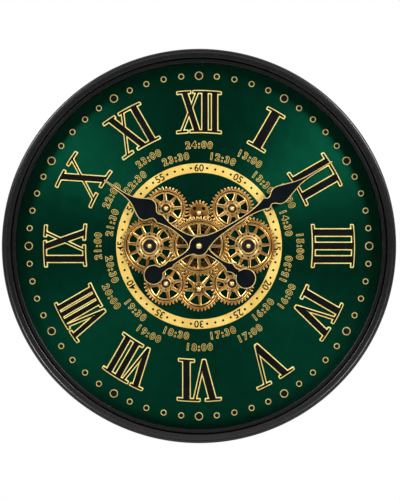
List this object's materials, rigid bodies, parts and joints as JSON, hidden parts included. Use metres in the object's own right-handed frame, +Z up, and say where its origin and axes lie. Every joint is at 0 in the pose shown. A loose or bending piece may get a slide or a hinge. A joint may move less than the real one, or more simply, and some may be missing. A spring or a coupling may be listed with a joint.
{
  "type": "gear wall clock",
  "caption": "Round wall clock with raised numerals, two hands and an open train of meshing gears turning in the middle of its dial.",
  "frame": {"origin": "on the clock's axis, where the hands' axis meets the wall plane that the frame's rear flange stands on", "axes": "+Z up towards twelve o'clock, +Y into the wall so the dial faces -Y, +X to the right of the dial seen from the front"},
  "size_m": [0.6, 0.062, 0.6],
  "materials": {
    "frame_black": "satin black paint over pressed steel",
    "dial_green": "fibreboard with a dark green metallic face, brushed in circles",
    "ring_gold": "fine matt gold",
    "eyelet_gold": "polished gold",
    "stud_black": "gloss black",
    "numeral_gold": "gold plated rim with a black sunk face",
    "gear_brass": "antique brass",
    "hub_brass": "polished brass",
    "nut_brass": "polished brass",
    "washer_black": "black oxide",
    "hand_black": "near-black paint with gold edges",
    "steel": "plain zinc plated steel",
    "case_black": "fine matt black plastic",
    "winding_copper": "enamelled copper winding and green board",
    "set_plastic": "pale plastic wheel and knob",
    "switch_plastic": "pale plastic"
  },
  "bodies": {
    "clock": {"outer_frame": "frame_black", "bezel_ring": "frame_black", "dial_plate": "dial_green", "minute_ring": "ring_gold", "hour_eyelets": "eyelet_gold", "minute_eyelets": "eyelet_gold", "eyelet_studs": "stud_black", "numeral_12": "numeral_gold", "numeral_1": "numeral_gold", "numeral_2": "numeral_gold", "numeral_3": "numeral_gold", "numeral_4": "numeral_gold", "numeral_5": "numeral_gold", "numeral_6": "numeral_gold", "numeral_7": "numeral_gold", "numeral_8": "numeral_gold", "numeral_9": "numeral_gold", "numeral_10": "numeral_gold", "numeral_11": "numeral_gold", "gear_posts": "steel", "post_washers": "washer_black", "ball_nuts": "nut_brass", "center_sleeve": "hub_brass", "movement_case": "case_black", "movement_cover": "case_black", "movement_parts": "winding_copper", "drive_case": "case_black", "drive_cover": "case_black", "drive_motor": "steel", "battery_contacts": "steel", "dial_clips": "steel", "hanger": "steel", "screws": "steel"},
    "center_gears": {"center_hub": "hub_brass", "center_gear_front": "gear_brass", "center_gear_rear": "gear_brass"},
    "left_gear": {"gear_left": "gear_brass", "hub_left": "hub_brass"},
    "right_gear": {"gear_right": "gear_brass", "hub_right": "hub_brass"},
    "upper_left_gear": {"gear_upper_left": "gear_brass", "hub_upper_left": "hub_brass"},
    "upper_right_gear": {"gear_upper_right": "gear_brass", "hub_upper_right": "hub_brass"},
    "lower_left_gear": {"gear_lower_left": "gear_brass", "hub_lower_left": "hub_brass"},
    "lower_right_gear": {"gear_lower_right": "gear_brass", "hub_lower_right": "hub_brass"},
    "top_gear": {"gear_top": "gear_brass"},
    "bottom_gear": {"gear_bottom": "gear_brass", "hub_bottom": "hub_brass", "drive_arbor": "nut_brass"},
    "motor_pinion": {"motor_pinion": "nut_brass"},
    "minute_hand": {"minute_hand": "hand_black", "hand_nut": "nut_brass", "minute_arbor": "steel"},
    "hour_hand": {"hour_hand": "hand_black", "hour_pipe": "nut_brass"},
    "set_wheel": {"set_wheel": "set_plastic"},
    "switch_slider": {"switch_slider": "switch_plastic"}
  },
  "joints": [
    {"name": "center_gears_spin", "type": "hinge", "parent": "clock", "child": "center_gears", "pos_m": [0, 0, 0], "axis": [0, 1, 0], "continuous": true},
    {"name": "left_gear_spin", "type": "hinge", "parent": "clock", "child": "left_gear", "pos_m": [-0.07565, 0, 0], "axis": [0, 1, 0], "continuous": true},
    {"name": "right_gear_spin", "type": "hinge", "parent": "clock", "child": "right_gear", "pos_m": [0.07565, 0, 0], "axis": [0, 1, 0], "continuous": true},
    {"name": "upper_left_gear_spin", "type": "hinge", "parent": "clock", "child": "upper_left_gear", "pos_m": [-0.05072, 0, 0.05733], "axis": [0, 1, 0], "continuous": true},
    {"name": "upper_right_gear_spin", "type": "hinge", "parent": "clock", "child": "upper_right_gear", "pos_m": [0.05072, 0, 0.05733], "axis": [0, 1, 0], "continuous": true},
    {"name": "lower_left_gear_spin", "type": "hinge", "parent": "clock", "child": "lower_left_gear", "pos_m": [-0.05072, 0, -0.05733], "axis": [0, 1, 0], "continuous": true},
    {"name": "lower_right_gear_spin", "type": "hinge", "parent": "clock", "child": "lower_right_gear", "pos_m": [0.05072, 0, -0.05733], "axis": [0, 1, 0], "continuous": true},
    {"name": "top_gear_spin", "type": "hinge", "parent": "clock", "child": "top_gear", "pos_m": [0, 0, 0.05073], "axis": [0, 1, 0], "continuous": true},
    {"name": "bottom_gear_spin", "type": "hinge", "parent": "clock", "child": "bottom_gear", "pos_m": [0, 0, -0.06586], "axis": [0, 1, 0], "continuous": true},
    {"name": "motor_pinion_spin", "type": "hinge", "parent": "clock", "child": "motor_pinion", "pos_m": [0.015, 0, -0.06586], "axis": [0, 1, 0], "continuous": true},
    {"name": "minute_hand_spin", "type": "hinge", "parent": "clock", "child": "minute_hand", "pos_m": [0, 0, 0], "axis": [0, 1, 0], "continuous": true},
    {"name": "hour_hand_spin", "type": "hinge", "parent": "clock", "child": "hour_hand", "pos_m": [0, 0, 0], "axis": [0, 1, 0], "continuous": true},
    {"name": "set_wheel_spin", "type": "hinge", "parent": "clock", "child": "set_wheel", "pos_m": [0, 0, 0.01], "axis": [0, 1, 0], "continuous": true},
    {"name": "switch_slide", "type": "slide", "parent": "clock", "child": "switch_slider", "axis": [0, 0, 1], "range_m": [0, 0.003]}
  ],
  "couplings": [
    {"joint": "left_gear_spin", "follows": "center_gears_spin", "ratio": -0.77083},
    {"joint": "right_gear_spin", "follows": "center_gears_spin", "ratio": -0.77083},
    {"joint": "upper_left_gear_spin", "follows": "center_gears_spin", "ratio": -1.3889},
    {"joint": "upper_right_gear_spin", "follows": "center_gears_spin", "ratio": -1.3889},
    {"joint": "lower_left_gear_spin", "follows": "center_gears_spin", "ratio": -1.3889},
    {"joint": "lower_right_gear_spin", "follows": "center_gears_spin", "ratio": -1.3889},
    {"joint": "top_gear_spin", "follows": "center_gears_spin", "ratio": -1.85},
    {"joint": "bottom_gear_spin", "follows": "center_gears_spin", "ratio": -1},
    {"joint": "motor_pinion_spin", "follows": "center_gears_spin", "ratio": 5},
    {"joint": "hour_hand_spin", "follows": "minute_hand_spin", "ratio": 0.083333},
    {"joint": "set_wheel_spin", "follows": "minute_hand_spin", "ratio": -0.33333}
  ]
}
